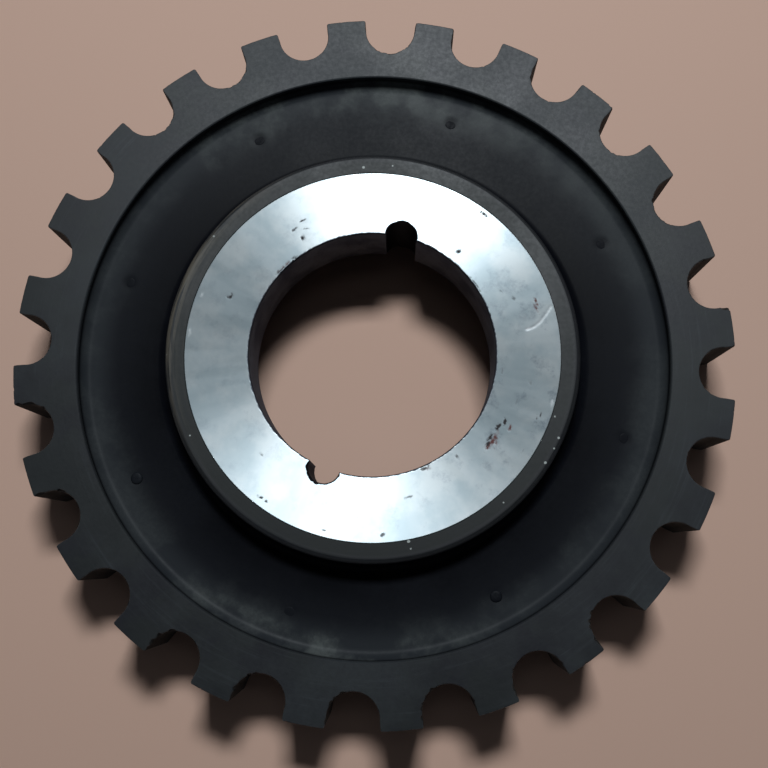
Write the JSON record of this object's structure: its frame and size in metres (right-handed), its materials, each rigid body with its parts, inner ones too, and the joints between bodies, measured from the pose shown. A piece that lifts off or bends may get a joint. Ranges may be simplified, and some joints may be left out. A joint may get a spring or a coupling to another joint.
{
  "type": "timing belt pulley",
  "caption": "Narrow black toothed belt pulley with round-bottomed tooth gaps, a dished web and a bright steel hub whose bore has half-round key grooves.",
  "frame": {"origin": "on the bore's axis, in the plane of the rim's back face, which it rests on", "axes": "+Z along the bore towards the hub's bright front face, +Y through the first half-round key groove"},
  "size_m": [0.1484, 0.1484, 0.0235],
  "materials": {
    "blackened_iron": "matte black, lightly turned",
    "turned_steel": "bright, finely turned",
    "blackened_rivet": "matte black"
  },
  "bodies": {
    "root": {"pulley_body": "blackened_iron", "hub_sleeve": "turned_steel", "rivet_1": "blackened_rivet", "rivet_2": "blackened_rivet", "rivet_3": "blackened_rivet", "rivet_4": "blackened_rivet", "rivet_5": "blackened_rivet", "rivet_6": "blackened_rivet", "rivet_7": "blackened_rivet", "rivet_8": "blackened_rivet"}
  },
  "joints": []
}
